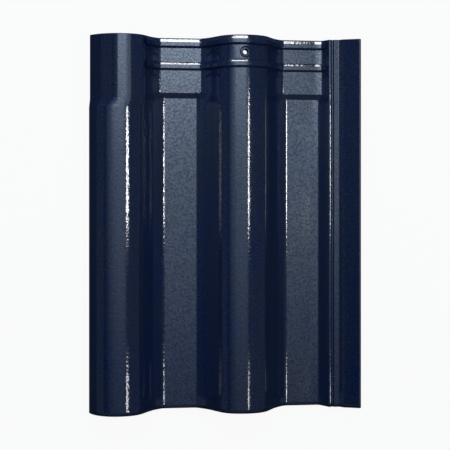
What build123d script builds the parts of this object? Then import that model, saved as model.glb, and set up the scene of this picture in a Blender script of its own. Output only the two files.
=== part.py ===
from build123d import *
import math
import os

# Glazed double-roll roof tile, pressed and fired in one piece.
# X runs across the tile, from the cover roll to the side strip.
# Y runs up the slope, from the tail edge to the head edge.
# Z is up, and Z = 0 is the floor that the tile lies on.
# Lengths are in millimetres and angles in degrees.

# Overall form
tile_length = 410.0
tile_width = 300.0
wall = 9.0
tail_foot = 4.0

# Rolls and pans, seen square to the length
side_lap = 25.2
cover_roll_x = 30.6
roll_height = 39.0
crest_radius = 50.0
crest_angle = 12.0
shoulder_radius = 27.0
flank_angle = 56.5
flank_straight = 13.0
foot_angle = 33.0
pan_corner_radius = 5.0

# Cover roll at the left edge, which laps over the neighbour's strip
lip_clearance = 0.6
lip_thickness = 6.5
lip_edge_radius = 1.6

# Head lap: the part that lies under the next tile up the slope
head_lap = 60.5
pan_rise = 4.5
pan_step_run = 5.8
cover_drop = 5.5
cover_step_start = 331.0
cover_step_run = 10.0

# Side lock at the right edge: rib, groove, shoulder and strip
rib_from_edge = 33.4
rib_height = 13.6
rib_flank_angle = 56.0
rib_flat = 1.2
rib_edge_radius = 1.2
groove_side_angle = 60.0
groove_edge_radius = 0.7
groove_depth = 1.8
groove_flat = 0.5
shoulder_flat = 4.6
shoulder_corner_radius = 1.5
strip_step_angle = 46.0
strip_step_length = 4.0
strip_step_radius = 5.0
strip_start_angle = 20.0
strip_rise = 11.2
strip_wall = 8.5
rib_corner_radius = 3.5
under_corner_radius = 2.0
strip_edge_radius = 1.8

# Weather ridges across the head lap
ridge_height = 2.8
ridge_top_width = 4.2
ridge_head_ramp = 3.3
ridge_tail_ramp = 2.0
ridge_ramp_drop = 2.7
ridge_edge_radius = 0.9
ridge_top_from_head = 31.6
head_ridge_top_from_head = 6.9
ridge_left_x = 62.0
ridge_right_from_edge = 38.0

# Nail hole on the crest of the middle roll
nail_hole_radius = 2.7
nail_sink_radius = 3.4
nail_collar_radius = 4.4
nail_collar_edge_radius = 0.5
nail_seat_radius = 6.4
nail_seat_depth = 1.5
nail_from_head = 18.6

# Nibs under the head, which hang the tile on its batten
nib_width = 36.0
nib_length = 10.0
nib_from_head = 1.5
nib_draft = 8.0
nib_edge_radius = 1.5

# Feet under the tail edge, which close the pans on the tile below
foot_length = 8.0
foot_width = 30.0
foot_draft = 12.0
foot_from_tail = 1.5

# Chamfer that eases the tail and head edges
end_edge_chamfer = 0.6

# How deep a form that stands on the wall is rooted in it
root = 1.0

# Distance within which two places count as one
close = 0.01

pitch = (tile_width - side_lap) / 2.0
middle_roll_x = cover_roll_x + pitch
rib_x = tile_width - rib_from_edge
crest_z = tail_foot + wall + roll_height
rib_drop = roll_height - rib_height
strip_end_drop = rib_drop - strip_rise
lip_drop = rib_drop - lip_clearance
name = "roof_tile"


class Pen:
    """Walks along the section, left to right, and keeps the edges it draws.

    With an offset the pen draws a line that far below the walked one.
    """

    def __init__(self, x, z, heading, y, offset=0.0):
        self.x = x
        self.z = z
        self.heading = heading
        self.y = y
        self.offset = offset
        self.edges = []

    def point(self):
        down = math.radians(self.heading - 90.0)
        return Vector(
            self.x + self.offset * math.cos(down),
            self.y,
            self.z + self.offset * math.sin(down),
        )

    def step(self, length):
        along = math.radians(self.heading)
        self.x += length * math.cos(along)
        self.z += length * math.sin(along)

    def go(self, length):
        start = self.point()
        self.step(length)
        self.edges.append(Edge.make_line(start, self.point()))

    def turn(self, radius, degrees):
        """Turns left for positive degrees and right for negative ones."""
        start = self.point()
        half = degrees / 2.0
        chord = 2.0 * radius * math.sin(math.radians(abs(half)))
        half_chord = 2.0 * radius * math.sin(math.radians(abs(half) / 2.0))
        first_x, first_z, first_heading = self.x, self.z, self.heading
        self.heading = first_heading + half / 2.0
        self.step(half_chord)
        self.heading = first_heading + half
        middle = self.point()
        self.x, self.z = first_x, first_z
        self.step(chord)
        self.heading = first_heading + degrees
        self.edges.append(Edge.make_three_point_arc(start, middle, self.point()))


def sine(degrees):
    return math.sin(math.radians(degrees))


def cosine(degrees):
    return math.cos(math.radians(degrees))


def foot_radius(height):
    """Radius of the hollow at the foot of a roll, which makes up its height."""
    crest = crest_radius * (1.0 - cosine(crest_angle))
    shoulder = shoulder_radius * (cosine(crest_angle) - cosine(flank_angle))
    corner = pan_corner_radius * (1.0 - cosine(foot_angle))
    left_over = height - crest - shoulder - corner - flank_straight * sine(flank_angle)
    return left_over / (cosine(foot_angle) - cosine(flank_angle))


def half_roll(height, drop=0.0):
    """Width from the crest of a roll to the flat of the pan beside it."""
    crest = crest_radius * sine(crest_angle)
    shoulder = shoulder_radius * (sine(flank_angle) - sine(crest_angle))
    straight = flank_straight - drop / sine(flank_angle)
    hollow = foot_radius(height) * (sine(flank_angle) - sine(foot_angle))
    corner = pan_corner_radius * sine(foot_angle)
    return crest + shoulder + straight * cosine(flank_angle) + hollow + corner


def roll_down(pen, height, drop=0.0):
    """Right half of a roll, from its crest to the flat of the pan."""
    pen.turn(crest_radius, -crest_angle)
    pen.turn(shoulder_radius, crest_angle - flank_angle)
    pen.go(flank_straight - drop / sine(flank_angle))
    pen.turn(foot_radius(height), flank_angle - foot_angle)
    pen.turn(pan_corner_radius, foot_angle)


def roll_up(pen, height):
    """Left half of a roll, from the flat of the pan to its crest."""
    pen.turn(pan_corner_radius, foot_angle)
    pen.turn(foot_radius(height), flank_angle - foot_angle)
    pen.go(flank_straight)
    pen.turn(shoulder_radius, crest_angle - flank_angle)
    pen.turn(crest_radius, -crest_angle)


def arc_to_crest(run, rise):
    """Radius and angle of the arc that climbs by rise over run and ends level."""
    radius = (run * run + rise * rise) / (2.0 * rise)
    angle = math.degrees(2.0 * math.atan2(rise, run))
    return radius, angle


def lip_corner_x():
    """Place of the lip's outer corner, so that its rounding just reaches the tile's edge."""
    across = cover_roll_x - lip_edge_radius
    down = lip_drop - lip_edge_radius
    radius = (across**2 + down**2 - lip_edge_radius**2) / (2.0 * (down - lip_edge_radius))
    return cover_roll_x - math.sqrt(radius**2 - (radius - lip_drop) ** 2)


def cover_crest_x(height, drop):
    """Place of the cover roll's crest, which moves in as the roll is lowered."""
    return cover_roll_x + half_roll(height) - half_roll(height, drop)


def pans_and_rolls(pen, height, drop):
    """From the cover roll's crest over both pans to the second pan's far corner."""
    flat = pitch - 2.0 * half_roll(height)
    roll_down(pen, height, drop)
    pen.go(flat)
    roll_up(pen, height)
    roll_down(pen, height)
    run, straight = side_flank(height)
    pen.go(rib_x - run - pen.x)
    pen.turn(rib_corner_radius, rib_flank_angle)
    return straight


def side_flank(height):
    """Run and straight length of the flank between the second pan and the rib."""
    turned = 1.0 - cosine(rib_flank_angle)
    straight = (height - rib_drop - turned * (rib_corner_radius + rib_edge_radius)) / sine(rib_flank_angle)
    run = (rib_corner_radius + rib_edge_radius) * sine(rib_flank_angle) + straight * cosine(rib_flank_angle)
    return run, straight


def groove_run():
    """Run and slanting length of the groove between the rib and the shoulder."""
    turned = 2.0 * groove_edge_radius * (1.0 - cosine(groove_side_angle))
    side = (groove_depth - turned) / sine(groove_side_angle)
    rounding = 4.0 * groove_edge_radius * sine(groove_side_angle)
    return rounding + 2.0 * side * cosine(groove_side_angle) + groove_flat, side


def side_lock(pen, straight):
    """Rib, groove, shoulder and strip of the right edge, seen from above."""
    side = groove_run()[1]
    pen.go(straight)
    pen.turn(rib_edge_radius, -rib_flank_angle)
    pen.go(rib_flat)
    pen.turn(groove_edge_radius, -groove_side_angle)
    pen.go(side)
    pen.turn(groove_edge_radius, groove_side_angle)
    pen.go(groove_flat)
    pen.turn(groove_edge_radius, groove_side_angle)
    pen.go(side)
    pen.turn(groove_edge_radius, -groove_side_angle)
    pen.go(shoulder_flat)
    pen.turn(shoulder_corner_radius, strip_step_angle)
    pen.go(strip_step_length)
    pen.turn(strip_step_radius, strip_start_angle - strip_step_angle)


def side_lock_under(pen, straight):
    """The same edge for the lower line, with no rib or groove in it."""
    corner = wall + under_corner_radius
    flank_cut = (corner - rib_edge_radius) * math.tan(math.radians(rib_flank_angle / 2.0))
    step_turn = strip_step_angle - strip_start_angle
    step_cut = (corner - strip_step_radius) * math.tan(math.radians(step_turn / 2.0))
    pen.go(straight - flank_cut)
    pen.turn(corner, -rib_flank_angle)
    pen.go(rib_x + rib_flat + groove_run()[0] + shoulder_flat - pen.x)
    pen.turn(shoulder_corner_radius, strip_step_angle)
    pen.go(strip_step_length - step_cut)
    pen.turn(corner, -step_turn)


def strip_arc(pen):
    """Crowned strip, from where the pen is to the tile's right edge."""
    below = strip_wall if pen.offset else 0.0
    end = Vector(tile_width, pen.y, crest_z - strip_end_drop - below)
    along = Vector(cosine(pen.heading), 0.0, sine(pen.heading))
    pen.edges.append(Edge.make_tangent_arc(pen.point(), along, end))


def top_line(y, height, drop):
    """Upper line of the section, from the lip to the tile's right edge."""
    lip_x = lip_corner_x()
    radius, angle = arc_to_crest(cover_crest_x(height, drop) - lip_x, lip_drop - drop)
    pen = Pen(lip_x, crest_z - lip_drop, angle, y)
    pen.turn(radius, -angle)
    straight = pans_and_rolls(pen, height, drop)
    side_lock(pen, straight)
    strip_arc(pen)
    return pen.edges


def under_line(y, height, drop):
    """Lower line of the section, one wall below the upper one."""
    crest_x = cover_crest_x(height, drop)
    radius, angle = arc_to_crest(crest_x - lip_thickness, lip_drop - drop - wall)
    lip = Pen(lip_thickness, crest_z - lip_drop, angle, y)
    lip.turn(radius, -angle)
    pen = Pen(crest_x, crest_z - drop, 0.0, y, wall)
    straight = pans_and_rolls(pen, height, drop)
    side_lock_under(pen, straight)
    strip_arc(pen)
    return lip.edges + pen.edges


def section(y, height, drop):
    """Closed section of the tile at one place along its length."""
    top = top_line(y, height, drop)
    under = under_line(y, height, drop)
    left = Edge.make_line(top[0] @ 0, under[0] @ 0)
    right = Edge.make_line(top[-1] @ 1, under[-1] @ 1)
    face = Face(Wire(top + under + [left, right]))
    for edge, radius in ((left, lip_edge_radius), (right, strip_edge_radius)):
        corners = [v for v in face.vertices() if edge.distance_to(v) < close]
        face = face.fillet_2d(radius, corners)
    return face


def band(y, height, drop):
    """Closed strip along the top of the section, which a ridge is made from."""
    start_x = cover_crest_x(height, drop)
    upper = Pen(start_x, crest_z - drop, 0.0, y, -ridge_height)
    lower = Pen(start_x, crest_z - drop, 0.0, y, root)
    for pen in (upper, lower):
        pen.go(pans_and_rolls(pen, height, drop))
    left = Edge.make_line(upper.edges[0] @ 0, lower.edges[0] @ 0)
    right = Edge.make_line(upper.edges[-1] @ 1, lower.edges[-1] @ 1)
    return Face(Wire(upper.edges + lower.edges + [left, right])), upper.edges


def weather_ridge(top_y):
    """Ridge across the head lap, with a long ramp on its head side and a short one on its tail side."""
    tail_y = top_y - ridge_top_width / 2.0 - ridge_tail_ramp
    head_y = top_y + ridge_top_width / 2.0 + ridge_head_ramp
    face, crests = band(tail_y, roll_height - pan_rise, cover_drop)
    ridge = extrude(face, head_y - tail_y, dir=(0, 1, 0))
    for y, ramp in ((tail_y, ridge_tail_ramp), (head_y, ridge_head_ramp)):
        middles = [Vector((edge @ 0.5).X, y, (edge @ 0.5).Z) for edge in crests]
        rims = [edge for edge in ridge.edges() if min(((edge @ 0.5) - m).length for m in middles) < close]
        side = ridge.faces().sort_by(Axis.Y)[0 if y == tail_y else -1]
        ridge = chamfer(rims, ridge_ramp_drop, ramp, reference=side)
    for y in (tail_y + ridge_tail_ramp, head_y - ridge_head_ramp):
        rims = [edge for edge in ridge.edges() if abs((edge @ 0).Y - y) + abs((edge @ 1).Y - y) < close]
        ridge = fillet(rims, ridge_edge_radius)
    ridge_right_x = tile_width - ridge_right_from_edge
    span = ridge_right_x - ridge_left_x
    middle = Pos((ridge_left_x + ridge_right_x) / 2.0, top_y, crest_z)
    keep = middle * Box(span, 4 * (head_y - tail_y), 4 * crest_z)
    return ridge & keep


def body():
    """Wall of the tile, lofted where the head lap steps away from the rest."""
    head_height = roll_height - pan_rise
    step_end = tile_length - head_lap
    step_start = step_end - pan_step_run
    cover_step_end = cover_step_start + cover_step_run
    tail = extrude(section(0.0, roll_height, 0.0), cover_step_start, dir=(0, 1, 0))
    cover_step = loft(
        [section(cover_step_start, roll_height, 0.0), section(cover_step_end, roll_height, cover_drop)],
        ruled=True,
    )
    between = extrude(
        section(cover_step_end, roll_height, cover_drop), step_start - cover_step_end, dir=(0, 1, 0)
    )
    pan_step = loft(
        [section(step_start, roll_height, cover_drop), section(step_end, head_height, cover_drop)],
        ruled=True,
    )
    head = extrude(section(step_end, head_height, cover_drop), head_lap, dir=(0, 1, 0))
    wall_body = tail + cover_step + between + pan_step + head
    across = wall_body.edges().group_by(Axis.Y)
    return chamfer(across[0] + across[-1], end_edge_chamfer)


def pan_centre_x(index, height):
    """Middle of the flat of the first pan for index 0, and of the second for index 1."""
    first = cover_roll_x + index * pitch + half_roll(height)
    last = rib_x - side_flank(height)[0] if index else middle_roll_x - half_roll(height)
    return (first + last) / 2.0


def drafted_block(x, y, top_z, width, length, draft):
    """Block that stands on the floor and narrows towards it on all four sides."""
    inset = top_z * math.tan(math.radians(draft))
    block = Wedge(width, top_z, length, inset, inset, width - inset, length - inset)
    return Pos(x, y, top_z / 2.0) * Rot(-90, 0, 0) * block


def nib(x):
    """Drafted nib under a pan at the head, down to the floor."""
    top_z = crest_z - (roll_height - pan_rise) - wall + root
    centre_y = tile_length - nib_from_head - nib_length / 2.0
    block = drafted_block(x, centre_y, top_z, nib_width, nib_length, nib_draft)
    return fillet(block.edges().group_by(Axis.Z)[0], nib_edge_radius)


def foot(x):
    """Shallow drafted foot under a pan at the tail."""
    centre_y = foot_from_tail + foot_length / 2.0
    return drafted_block(x, centre_y, tail_foot + root, foot_width, foot_length, foot_draft)


def nail_seat():
    """Round seat that is sunk in the crest, and widens upwards at 45 degrees."""
    height = nail_seat_depth + 2 * ridge_height
    place = Pos(middle_roll_x, tile_length - nail_from_head, crest_z - nail_seat_depth + height / 2.0)
    return place * Cone(nail_seat_radius - nail_seat_depth, nail_seat_radius + 2 * ridge_height, height)


def nail_collar():
    """Collar that stands in the seat, up to the height of the crest, and keeps water out of the hole."""
    height = nail_seat_depth + root
    place = Pos(middle_roll_x, tile_length - nail_from_head, crest_z - height / 2.0)
    collar = place * Cylinder(nail_collar_radius, height)
    return fillet(collar.edges().group_by(Axis.Z)[-1], nail_collar_edge_radius)


def nail_hole():
    """Through hole with a mouth that is countersunk at 45 degrees, cut square to the crest."""
    place = Pos(middle_roll_x, tile_length - nail_from_head, crest_z)
    bore = place * Cylinder(nail_hole_radius, 4 * wall)
    sink_depth = nail_sink_radius - nail_hole_radius
    sink = Cone(nail_hole_radius - sink_depth, nail_sink_radius + sink_depth, 3 * sink_depth)
    return bore + place * Pos(0, 0, -sink_depth / 2.0) * sink


tile = body()
for from_head in (ridge_top_from_head, head_ridge_top_from_head):
    tile += weather_ridge(tile_length - from_head)
tile -= nail_seat()
tile += nail_collar()
tile -= nail_hole()
for index in (0, 1):
    tile += nib(pan_centre_x(index, roll_height - pan_rise))
    tile += foot(pan_centre_x(index, roll_height))
tile = Pos(-tile_width / 2.0, -tile_length / 2.0, 0.0) * tile
os.makedirs("parts", exist_ok=True)
export_step(tile, "parts/" + name + ".step")
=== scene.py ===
import math

import bpy
from bpy.props import FloatProperty, FloatVectorProperty, PointerProperty
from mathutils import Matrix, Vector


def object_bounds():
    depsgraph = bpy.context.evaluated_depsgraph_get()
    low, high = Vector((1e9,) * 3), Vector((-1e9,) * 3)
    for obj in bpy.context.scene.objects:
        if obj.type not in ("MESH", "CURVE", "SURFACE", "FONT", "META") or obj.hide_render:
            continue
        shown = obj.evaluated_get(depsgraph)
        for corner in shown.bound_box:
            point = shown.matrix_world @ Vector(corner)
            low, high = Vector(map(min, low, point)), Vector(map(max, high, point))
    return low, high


bl_info = {
    "name": "Glazed Roof Tile",
    "version": (1, 0, 0),
    "blender": (4, 5, 0),
    "location": "View3D > Sidebar > Roof Tile",
    "description": "Glazes a double-roll roof tile and lights it for a product picture",
    "category": "Object",
}

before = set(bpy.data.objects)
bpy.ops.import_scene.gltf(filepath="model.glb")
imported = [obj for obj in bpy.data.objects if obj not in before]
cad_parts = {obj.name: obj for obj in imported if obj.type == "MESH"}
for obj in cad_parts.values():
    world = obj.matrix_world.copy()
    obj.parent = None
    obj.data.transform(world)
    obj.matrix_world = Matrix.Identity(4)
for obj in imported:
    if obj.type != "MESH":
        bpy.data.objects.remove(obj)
cad_low, cad_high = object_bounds()

TILE_NODE = "roof_tile"
MM = 0.001
WHITE = (1.0, 1.0, 1.0, 1.0)

# Sockets of the Mix node when it mixes colours
MIX_FACTOR, MIX_FIRST, MIX_SECOND, MIX_RESULT = 0, 6, 7, 2

# Noises of the finish: detail and roughness of each, and sizes that no property holds
NOISE_MIDDLE = 0.5
PEEL_NOISE = (1.0, 0.4)
GRAIN_NOISE = (1.0, 0.6)
WAVE_NOISE = (1.0, 0.4)
PATCH_NOISE = (3.0, 0.55)
PATCH_SIZE = 60 * MM
SPECK_NOISE = (2.0, 0.6)
SPECK_SIZE = 1.2 * MM
RUN_NOISE = (2.0, 0.5)
RUNS_PER_METRE = (160.0, 7.0, 60.0)

# Smooth changes of the finish: where a value starts and stops to count, then the first and
# the last result, where those aren't 0 and 1
GLAZE_EDGE = (-0.42, -0.30)
TONE_CHANGE = (0.38, 0.62)
FLECK_CHANGE = (0.42, 0.72, 0.0, 0.5)
SPECK_CHANGE = (0.35, 0.65)
PATCH_CHANGE = (0.25, 0.75)
ARRIS_ROUGHNESS = (147.2 * MM, 148.8 * MM, 0.0, 0.5)
POOLED_BY_HEIGHT = (17 * MM, 26 * MM, 0.34, 0.13)
POOLED_BY_GRAIN = (0.28, 0.72, 0.2, 1.9)

# How ragged the glaze's edge is, shares of a colour or a roughness, and refractive indices
GLAZE_EDGE_RAGGED = 0.25
SPECK_SHADE = 0.72
GLOSSY_PATCH_SHARE = 0.85
DULL_PATCH_SHARE = 1.2
THIN_IOR = 1.6
POOLED_IOR = 2.3

# Relief that is only shading
GRAIN_RELIEF_SHARE = 0.15
CLAY_RELIEF = 0.15 * MM
NOSE_REACH = 0.93
RAISED_HEAD_Y = 145.5 * MM

# Step of the cover roll in the pressed shape. The roll drops and narrows over it, so its crest
# moves right. Shading takes most of that slope away, because the real step hardly shows.
COVER_STEP_Y = 126 * MM
COVER_STEP_RUN = 10 * MM
COVER_DROP = 5.5 * MM
COVER_CREST_SHIFT = 3.64 * MM
COVER_CREST_FROM_EDGE = 30.6 * MM
COVER_ROLL_END_X = -90 * MM
COVER_STEP_SOFTENING = 1.26

# Slopes that shading adds across the pressed face: from, to, first slope, last slope.
# These lie on the cover roll's crest, on the tail's side of its step.
COVER_CREST_LEANS = (
    (-0.1124, -0.1098, 0.0, 0.059),
    (-0.1098, -0.1090, 0.059, 0.051),
    (-0.1090, -0.1078, -0.040, -0.049),
    (-0.1078, -0.10505, -0.049, 0.0),
)
# These run along the whole tile, and each moves left on the raised head by its last number.
LEANS = (
    (-0.0682, -0.0668, 0.025, 0.190, 0.0044),
    (-0.0421, -0.0341, 0.0, -0.03, -0.0046),
    (-0.0341, -0.0320, 0.0, 0.28, -0.0046),
    (-0.0320, -0.0310, 0.28, 0.25, -0.0046),
    (0.0185, 0.0215, 0.0, 0.047, 0.0),
    (0.0215, 0.0284, 0.047, 0.052, 0.0),
    (0.0701, 0.0707, 0.068, 0.068, 0.0044),
    (0.0969, 0.1049, 0.0, -0.1, -0.0031),
    (0.1120, 0.1310, -0.03, -0.03, 0.0),
    (0.1172, 0.1176, 0.054, 0.054, 0.0),
    (0.1310, 0.1500, -0.25, -0.25, 0.0),
)

# Overhead panel: its size and colour, and its brightness by place: from, to, first, last
PANEL_SIZE = (3.0, 2.6)
PANEL_X = -0.75
PANEL_COLOUR = (0.80, 1.0, 1.25)
PANEL_RISE_X = (-1.9, 0.1, 0.1, 1.9)
PANEL_FALL_X = (0.3, 0.75, 1.0, 0.1)
PANEL_RISE_Y = (-0.6, 0.4, 0.2, 1.05)
GLOW_RISE_X = (-0.9, -0.4, 0.0, 1.0)
GLOW_FALL_X = (0.15, 0.4, 1.0, 0.0)
GLOW_RISE_Y = (0.05, 0.7, 0.0, 4.5)

# Strip lights: name, start and end along the tile, share of the strips' radiance
STRIPS = (
    ("strip_near_head", -0.032, 0.250, 1.0),
    ("strip_near_tail", -0.505, -0.363, 0.5),
)
WINDOW_SIZE = (1.36, 0.4)
WINDOW_PLACE = (-0.25, 2.0, 0.22)
FLOOR_WHITE_SHARE = 0.93

# Picture that the camera is fitted to, and its lens in the picture's pixels
PICTURE_PIXELS = 450
FOCAL_PIXELS = 1028.89
LENS_CENTRE = (213.02, 200.35)
SENSOR_WIDTH_MM = 36.0


class Value:
    """A shader socket that can be used in Python arithmetic."""

    def __init__(self, shader, socket):
        self.shader = shader
        self.socket = socket

    def __add__(self, other):
        return self.shader.math("ADD", self, other)

    def __sub__(self, other):
        return self.shader.math("SUBTRACT", self, other)

    def __rsub__(self, other):
        return self.shader.math("SUBTRACT", other, self)

    def __mul__(self, other):
        return self.shader.math("MULTIPLY", self, other)

    def __truediv__(self, other):
        return self.shader.math("DIVIDE", self, other)

    def __rtruediv__(self, other):
        return self.shader.math("DIVIDE", other, self)

    __radd__ = __add__
    __rmul__ = __mul__


class Shader:
    """Builds one material or world, node by node."""

    def __init__(self, owner):
        owner.use_nodes = True
        self.tree = owner.node_tree
        self.tree.nodes.clear()

    def node(self, kind, settings=None, inputs=None):
        """Adds a node, sets it up, then fills its sockets with values or links."""
        made = self.tree.nodes.new(kind)
        for name, setting in (settings or {}).items():
            setattr(made, name, setting)
        for name, value in (inputs or {}).items():
            socket = made.inputs[name]
            if isinstance(value, Value):
                self.tree.links.new(value.socket, socket)
            else:
                socket.default_value = value
        return made

    def out(self, made, name=0):
        return Value(self, made.outputs[name])

    def math(self, operation, *values):
        made = self.node("ShaderNodeMath", {"operation": operation}, dict(enumerate(values)))
        return self.out(made)

    def parts(self, vector):
        """The vector's X, Y and Z."""
        made = self.node("ShaderNodeSeparateXYZ", {}, {0: vector})
        return [self.out(made, axis) for axis in "XYZ"]

    def within(self, value, most):
        """The value, held between zero and the most."""
        return self.math("MINIMUM", self.math("MAXIMUM", value, 0.0), most)

    def fall(self, along, start, end, first, last):
        """How far a face sinks from start to end while its slope goes from first to last."""
        reach = self.within(along - start, end - start)
        return reach * first + reach * reach * ((last - first) / (2 * (end - start)))

    def noise(self, where, size, detail, rough):
        """Noise from 0 to 1, with a grain of about the size."""
        inputs = {"Vector": where, "Scale": 1.0 / size, "Detail": detail, "Roughness": rough}
        return self.out(self.node("ShaderNodeTexNoise", {}, inputs), "Fac")

    def ramp(self, value, low, high, first=0.0, last=1.0):
        """Smooth change from first to last while the value goes from low to high."""
        settings = {"interpolation_type": "SMOOTHSTEP"}
        inputs = {
            "Value": value, "From Min": low, "From Max": high, "To Min": first, "To Max": last,
        }
        return self.out(self.node("ShaderNodeMapRange", settings, inputs))

    def mix(self, factor, first, second):
        """Colour between the first and the second."""
        inputs = {MIX_FACTOR: factor, MIX_FIRST: first, MIX_SECOND: second}
        return self.out(self.node("ShaderNodeMix", {"data_type": "RGBA"}, inputs), MIX_RESULT)

    def scale(self, colour, amount):
        """The colour times the amount."""
        inputs = {"Vector": colour, "Scale": amount}
        return self.out(self.node("ShaderNodeVectorMath", {"operation": "SCALE"}, inputs))

    def surface(self, kind, inputs):
        """What a shader node gives off."""
        return self.out(self.node(kind, {}, inputs))

    def blend(self, factor, first, second):
        """Surface between the first and the second."""
        return self.surface("ShaderNodeMixShader", {0: factor, 1: first, 2: second})

    def finish(self, surface, kind="ShaderNodeOutputMaterial"):
        self.node(kind, {}, {"Surface": surface})


def rgba(colour):
    return (*colour, 1.0)


class GlazeSettings(bpy.types.PropertyGroup):
    """Finish of the tile's weathered face and of its bare back."""

    glaze_colour: FloatVectorProperty(
        name="Glaze colour", description="Body colour of the glaze", subtype="COLOR",
        default=(0.0042, 0.0135, 0.058),
    )
    thin_colour: FloatVectorProperty(
        name="Thin glaze colour", description="Colour where the glaze is thin", subtype="COLOR",
        default=(0.0082, 0.0165, 0.046),
    )
    fleck_colour: FloatVectorProperty(
        name="Fleck colour", description="Colour of the pale flecks in the glaze",
        subtype="COLOR", default=(0.014, 0.024, 0.055),
    )
    clay_colour: FloatVectorProperty(
        name="Clay colour", description="Colour of the fired body on the back", subtype="COLOR",
        default=(0.36, 0.15, 0.08),
    )
    glaze_roughness: FloatProperty(
        name="Glaze roughness", description="Micro roughness of the glaze",
        default=0.09, min=0.0, max=1.0,
    )
    clay_roughness: FloatProperty(
        name="Clay roughness", description="Micro roughness of the bare clay",
        default=0.85, min=0.0, max=1.0,
    )
    peel_size: FloatProperty(
        name="Orange peel size", description="Width of one dimple of the glaze",
        unit="LENGTH", default=2.8 * MM,
    )
    peel_depth: FloatProperty(
        name="Orange peel depth", description="Depth of the glaze's dimples",
        unit="LENGTH", default=0.07 * MM,
    )
    fleck_size: FloatProperty(
        name="Fleck size", description="Width of one pale fleck in the glaze",
        unit="LENGTH", default=2.0 * MM,
    )
    wave_size: FloatProperty(
        name="Wave size", description="Width of the slow waves in the pressed face",
        unit="LENGTH", default=28 * MM,
    )
    wave_depth: FloatProperty(
        name="Wave depth", description="Depth of the slow waves",
        unit="LENGTH", default=0.04 * MM,
    )
    nose_radius: FloatProperty(
        name="Nose radius", description="Rounding of the glazed face at the tail",
        unit="LENGTH", default=4.5 * MM,
    )


class StageSettings(bpy.types.PropertyGroup):
    """Floor, lights and camera."""

    floor_colour: FloatVectorProperty(
        name="Floor colour", description="Colour of the floor", subtype="COLOR",
        default=(0.8, 0.8, 0.8),
    )
    floor_reflected: FloatVectorProperty(
        name="Reflected floor", description="Colour of the floor in reflections",
        subtype="COLOR", default=(0.06, 0.065, 0.075),
    )
    floor_size: FloatProperty(
        name="Floor size", description="Side of the floor", unit="LENGTH", default=30.0,
    )
    room_colour: FloatVectorProperty(
        name="Room colour", description="Light from the room around the tile",
        subtype="COLOR", default=(0.085, 0.098, 0.12),
    )
    panel_height: FloatProperty(
        name="Panel height", description="Height of the overhead panel",
        unit="LENGTH", default=1.5,
    )
    panel_strength: FloatProperty(
        name="Panel strength", description="Brightness of the overhead panel",
        default=0.5, min=0.0,
    )
    strip_x: FloatProperty(
        name="Strip place", description="How far right of the tile's middle the strips hang",
        unit="LENGTH", default=0.455,
    )
    strip_height: FloatProperty(
        name="Strip height", description="Height of the strip lights",
        unit="LENGTH", default=1.152,
    )
    strip_width: FloatProperty(
        name="Strip width", description="Width of the strip lights",
        unit="LENGTH", default=0.07,
    )
    strip_radiance: FloatProperty(
        name="Strip radiance", description="Brightness of the strip lights",
        default=24.0, min=0.0,
    )
    window_radiance: FloatProperty(
        name="Window radiance", description="Brightness of the window beyond the head",
        default=12.0, min=0.0,
    )
    camera_x: FloatProperty(
        name="Camera X", description="Place of the camera across the tile",
        unit="LENGTH", default=-0.14485,
    )
    camera_y: FloatProperty(
        name="Camera Y", description="Place of the camera along the tile",
        unit="LENGTH", default=0.02567,
    )
    camera_height: FloatProperty(
        name="Camera height", description="Height of the camera over the floor",
        unit="LENGTH", default=1.152,
    )
    camera_tilt: FloatProperty(
        name="Camera tilt", description="Turn of the camera towards the side lock",
        subtype="ANGLE", default=math.radians(6.609),
    )


def glaze_colour(shader, settings, place, patch, grain):
    """Blue that runs thin in streaks and patches, with pale flecks."""
    stretched = [part * runs for part, runs in zip(place, RUNS_PER_METRE)]
    run_place = shader.node("ShaderNodeCombineXYZ", {}, dict(enumerate(stretched)))
    run = shader.noise(shader.out(run_place), 1.0, *RUN_NOISE)
    tone = shader.ramp((patch + run) / 2, *TONE_CHANGE)
    glaze = shader.mix(tone, rgba(settings.glaze_colour), rgba(settings.thin_colour))
    return shader.mix(shader.ramp(grain, *FLECK_CHANGE), glaze, rgba(settings.fleck_colour))


def clay_colour(shader, settings, speck):
    """Fired clay with darker specks."""
    dark = rgba([SPECK_SHADE * part for part in settings.clay_colour])
    return shader.mix(shader.ramp(speck, *SPECK_CHANGE), rgba(settings.clay_colour), dark)


def roughness(shader, settings, x, patch, glazed):
    """Glossy glaze that is duller in patches and along the right arris, and dull clay."""
    glossy = settings.glaze_roughness * GLOSSY_PATCH_SHARE
    dull = settings.glaze_roughness * DULL_PATCH_SHARE
    glaze = shader.ramp(patch, *PATCH_CHANGE, glossy, dull) + shader.ramp(x, *ARRIS_ROUGHNESS)
    return glaze * glazed + (1.0 - glazed) * settings.clay_roughness


def nose_height(shader, settings, y):
    """Height of the glazed face where it rounds over at the tail."""
    nose = settings.nose_radius
    short = shader.within(nose - (y - cad_low[1]), nose * NOSE_REACH)
    return shader.math("SQRT", nose * nose - short * short)


def cover_step_height(shader, x, y, right, up):
    """Height that softens the step of the cover roll."""
    drop = up * COVER_DROP - right * COVER_CREST_SHIFT
    share = shader.within((x - cad_low[0]) / COVER_CREST_FROM_EDGE, 1.0)
    on_roll = shader.math("LESS_THAN", x, COVER_ROLL_END_X)
    along = shader.within((y - COVER_STEP_Y) / COVER_STEP_RUN, 1.0)
    return drop * share * on_roll * along * COVER_STEP_SOFTENING


def lean_depth(shader, x, y):
    """How far the leaning parts of the face sink."""
    sink = 0.0
    for lean in COVER_CREST_LEANS:
        sink = sink + shader.fall(x, *lean)
    sink = sink * shader.math("LESS_THAN", y, COVER_STEP_Y)
    raised = shader.math("GREATER_THAN", y, RAISED_HEAD_Y)
    for *lean, moved in LEANS:
        sink = sink + shader.fall(x + raised * moved, *lean)
    return sink


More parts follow.
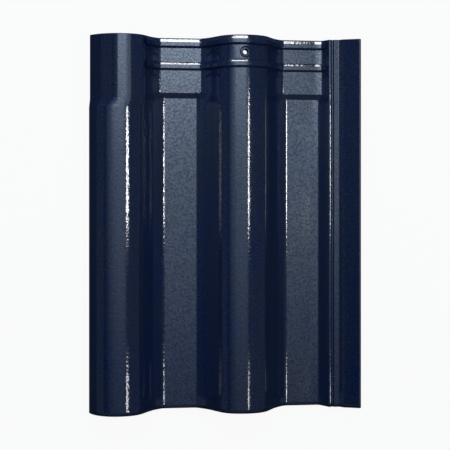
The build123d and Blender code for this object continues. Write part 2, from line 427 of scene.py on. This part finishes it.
def glaze_material(settings):
    """Dark blue glaze with an orange-peel face over fired clay, which the back leaves bare."""
    material = bpy.data.materials.new("glaze")
    shader = Shader(material)
    where = shader.out(shader.node("ShaderNodeTexCoord"), "Object")
    place = x, y, z = shader.parts(where)
    normal = shader.out(shader.node("ShaderNodeNewGeometry"), "Normal")
    right, _, up = shader.parts(normal)
    peel = shader.noise(where, settings.peel_size, *PEEL_NOISE)
    grain = shader.noise(where, settings.fleck_size, *GRAIN_NOISE)
    wave = shader.noise(where, settings.wave_size, *WAVE_NOISE)
    patch = shader.noise(where, PATCH_SIZE, *PATCH_NOISE)
    speck = shader.noise(where, SPECK_SIZE, *SPECK_NOISE)
    glazed = shader.ramp(up + (patch - NOISE_MIDDLE) * GLAZE_EDGE_RAGGED, *GLAZE_EDGE)

    glaze = glaze_colour(shader, settings, place, patch, grain)
    colour = shader.mix(glazed, clay_colour(shader, settings, speck), glaze)

    dimples = peel * settings.peel_depth + grain * (settings.peel_depth * GRAIN_RELIEF_SHARE)
    height = (dimples + wave * settings.wave_depth) * glazed
    height = height + (1.0 - glazed) * speck * CLAY_RELIEF + nose_height(shader, settings, y)
    height = height + cover_step_height(shader, x, y, right, up) - lean_depth(shader, x, y)
    bump = shader.node("ShaderNodeBump", {}, {"Height": height, "Strength": 1.0, "Distance": 1.0})

    finish = {
        "Base Color": colour,
        "Roughness": roughness(shader, settings, x, patch, glazed),
        "Normal": shader.out(bump),
    }
    thin = shader.surface("ShaderNodeBsdfPrincipled", {**finish, "IOR": THIN_IOR})
    pooled = shader.surface("ShaderNodeBsdfPrincipled", {**finish, "IOR": POOLED_IOR})
    thickness = shader.ramp(z, *POOLED_BY_HEIGHT) * shader.ramp(grain, *POOLED_BY_GRAIN)
    shader.finish(shader.blend(thickness * glazed, thin, pooled))
    return material


class TILE_OT_glaze(bpy.types.Operator):
    """Gives the pressed tile its glaze"""

    bl_idname = "roof_tile.glaze"
    bl_label = "Glaze the tile"

    def execute(self, context):
        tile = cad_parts[TILE_NODE]
        material = glaze_material(context.scene.tile_glaze)
        for slot in tile.material_slots:
            slot.material = material
        return {"FINISHED"}


def floor_material(settings):
    """Floor that the camera sees as white with the tile's shadow, and other rays see as dark."""
    material = bpy.data.materials.new("floor")
    shader = Shader(material)
    lit = shader.surface("ShaderNodeBsdfDiffuse", {"Color": rgba(settings.floor_colour)})
    white = shader.surface("ShaderNodeEmission", {"Color": WHITE, "Strength": 1.0})
    dark = shader.surface("ShaderNodeBsdfDiffuse", {"Color": rgba(settings.floor_reflected)})
    camera_ray = shader.out(shader.node("ShaderNodeLightPath"), "Is Camera Ray")
    shader.finish(shader.blend(camera_ray, dark, shader.blend(FLOOR_WHITE_SHARE, lit, white)))
    return material


def panel_material(settings):
    """Overhead panel that is brighter at its right and towards the tile's head."""
    material = bpy.data.materials.new("panel")
    shader = Shader(material)
    where = shader.out(shader.node("ShaderNodeTexCoord"), "Object")
    x, y, _ = shader.parts(where)
    x = x + PANEL_X
    base = shader.ramp(x, *PANEL_RISE_X) * shader.ramp(x, *PANEL_FALL_X)
    base = base * shader.ramp(y, *PANEL_RISE_Y)
    glow = shader.ramp(x, *GLOW_RISE_X) * shader.ramp(x, *GLOW_FALL_X)
    glow = glow * shader.ramp(y, *GLOW_RISE_Y)
    colour = [settings.panel_strength * part for part in PANEL_COLOUR]
    light = {"Color": shader.scale(colour, base + glow), "Strength": 1.0}
    shader.finish(shader.surface("ShaderNodeEmission", light))
    return material


def plane(name, size, place, material):
    """Flat rectangle that faces up or down and isn't part of the tile."""
    mesh = bpy.data.meshes.new(name)
    x, y = size[0] / 2, size[1] / 2
    mesh.from_pydata([(-x, -y, 0), (x, -y, 0), (x, y, 0), (-x, y, 0)], [], [(0, 1, 2, 3)])
    mesh.materials.append(material)
    made = bpy.data.objects.new(name, mesh)
    made.location = place
    bpy.context.scene.collection.objects.link(made)
    return made


def lamp(name, radiance, size, place, turn=0.0):
    """Rectangular lamp that is seen in the glaze but not by the camera."""
    light = bpy.data.lights.new(name, "AREA")
    light.shape = "RECTANGLE"
    light.size, light.size_y = size
    light.energy = radiance * math.pi * size[0] * size[1]
    made = bpy.data.objects.new(name, light)
    made.location = place
    made.rotation_euler = (turn, 0.0, 0.0)
    made.visible_camera = False
    bpy.context.scene.collection.objects.link(made)


def hang_lights(settings):
    """Panel over the tile, strips at its right and a window beyond its head."""
    panel_place = (PANEL_X, 0.0, settings.panel_height)
    panel = plane("overhead_panel", PANEL_SIZE, panel_place, panel_material(settings))
    panel.visible_camera = False
    for name, start, end, share in STRIPS:
        size = (settings.strip_width, end - start)
        place = (settings.strip_x, (start + end) / 2, settings.strip_height)
        lamp(name, settings.strip_radiance * share, size, place)
    lamp("head_window", settings.window_radiance, WINDOW_SIZE, WINDOW_PLACE, -math.pi / 2)


def light_room(scene, settings):
    """Even light from the room."""
    scene.world = bpy.data.worlds.new("room")
    shader = Shader(scene.world)
    glow = {"Color": rgba(settings.room_colour), "Strength": 1.0}
    shader.finish(shader.surface("ShaderNodeBackground", glow), "ShaderNodeOutputWorld")


def place_camera(scene, settings):
    """Camera over the left edge, turned towards the side lock."""
    data = bpy.data.cameras.new("camera")
    data.sensor_width = SENSOR_WIDTH_MM
    data.lens = SENSOR_WIDTH_MM * FOCAL_PIXELS / PICTURE_PIXELS
    data.shift_x = (PICTURE_PIXELS / 2 - LENS_CENTRE[0]) / PICTURE_PIXELS
    data.shift_y = (LENS_CENTRE[1] - PICTURE_PIXELS / 2) / PICTURE_PIXELS
    camera = bpy.data.objects.new("camera", data)
    camera.location = (settings.camera_x, settings.camera_y, settings.camera_height)
    camera.rotation_euler = (0.0, -settings.camera_tilt, 0.0)
    scene.collection.objects.link(camera)
    scene.camera = camera


class TILE_OT_stage(bpy.types.Operator):
    """Sets up the floor, the lights and the camera"""

    bl_idname = "roof_tile.stage"
    bl_label = "Set up the stage"

    def execute(self, context):
        scene = context.scene
        settings = scene.tile_stage
        floor_size = (settings.floor_size, settings.floor_size)
        plane("floor", floor_size, (0.0, 0.0, 0.0), floor_material(settings))
        hang_lights(settings)
        light_room(scene, settings)
        place_camera(scene, settings)
        scene.view_settings.view_transform = "Standard"
        return {"FINISHED"}


class TILE_PT_panel(bpy.types.Panel):
    """Lists the steps that dress the tile"""

    bl_label = "Roof Tile"
    bl_space_type = "VIEW_3D"
    bl_region_type = "UI"
    bl_category = "Roof Tile"

    def draw(self, context):
        for step in (TILE_OT_glaze, TILE_OT_stage):
            self.layout.operator(step.bl_idname)
        for group in (context.scene.tile_glaze, context.scene.tile_stage):
            for name in group.__annotations__:
                self.layout.prop(group, name)


CLASSES = (GlazeSettings, StageSettings, TILE_OT_glaze, TILE_OT_stage, TILE_PT_panel)


def register():
    for cls in CLASSES:
        bpy.utils.register_class(cls)
    bpy.types.Scene.tile_glaze = PointerProperty(type=GlazeSettings)
    bpy.types.Scene.tile_stage = PointerProperty(type=StageSettings)


def unregister():
    del bpy.types.Scene.tile_stage
    del bpy.types.Scene.tile_glaze
    for cls in reversed(CLASSES):
        bpy.utils.unregister_class(cls)


def main():
    register()
    bpy.ops.roof_tile.glaze()
    bpy.ops.roof_tile.stage()


if __name__ == "__main__":
    main()
